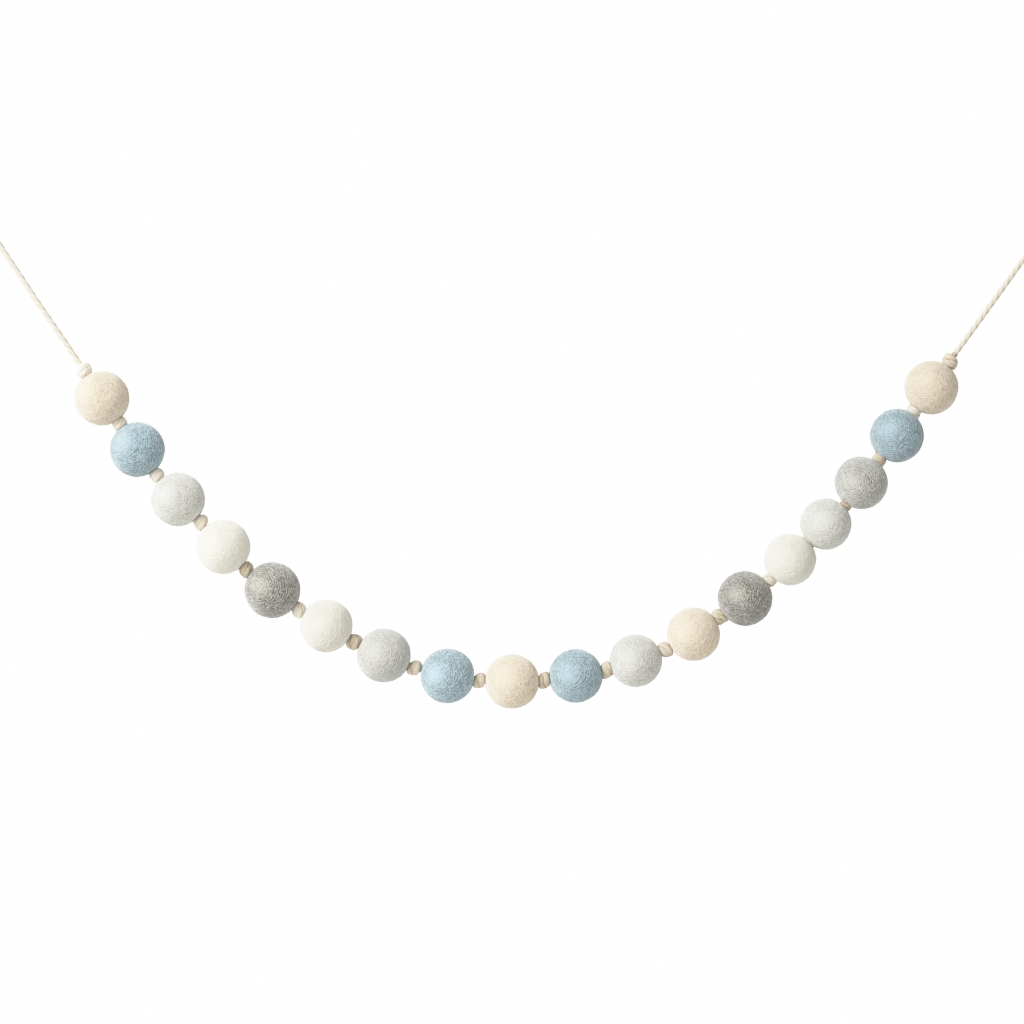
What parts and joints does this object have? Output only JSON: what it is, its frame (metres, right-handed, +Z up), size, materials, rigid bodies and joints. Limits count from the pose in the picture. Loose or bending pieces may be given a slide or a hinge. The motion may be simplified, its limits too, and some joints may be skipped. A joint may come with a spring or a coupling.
{
  "type": "felt ball garland",
  "caption": "Swag of wool felt balls in cream, white, blue and greys, threaded on a knotted cotton cord that ends in a loop on each side for a hook.",
  "frame": {"origin": "midway between the two hooks that hold the garland's end loops, at its top edge", "axes": "+Z up, +X along the swag from its left end to its right, +Y away from the viewer, through the thickness of the balls"},
  "size_m": [0.5229, 0.0258, 0.2441],
  "materials": {
    "felt_cream": "wet felted wool, cream, matt, crinkled with a soft short fuzz",
    "felt_white": "wet felted wool, natural white, matt, crinkled with a soft short fuzz",
    "felt_blue": "wet felted wool, light dusty blue with paler fibres, matt, crinkled",
    "felt_pale_grey": "wet felted wool, pale grey, matt, crinkled with a soft short fuzz",
    "felt_mid_grey": "wet felted wool, mid grey with paler and darker fibres, matt, crinkled",
    "felt_dark_grey": "wet felted wool, heathered dark grey with pale fibres, matt, crinkled",
    "cotton_cord": "natural cotton, three strands laid to the left, soft and slightly shiny"
  },
  "bodies": {
    "root": {"felt_ball_01": "felt_cream", "felt_ball_02": "felt_blue", "felt_ball_03": "felt_pale_grey", "felt_ball_04": "felt_white", "felt_ball_05": "felt_dark_grey", "felt_ball_06": "felt_white", "felt_ball_07": "felt_pale_grey", "felt_ball_08": "felt_blue", "felt_ball_09": "felt_cream", "felt_ball_10": "felt_blue", "felt_ball_11": "felt_pale_grey", "felt_ball_12": "felt_cream", "felt_ball_13": "felt_dark_grey", "felt_ball_14": "felt_white", "felt_ball_15": "felt_pale_grey", "felt_ball_16": "felt_mid_grey", "felt_ball_17": "felt_blue", "felt_ball_18": "felt_cream", "threaded_cord": "cotton_cord", "hanging_cord_left": "cotton_cord", "hanging_cord_right": "cotton_cord", "hanging_loop_left": "cotton_cord", "hanging_loop_right": "cotton_cord"}
  },
  "joints": []
}
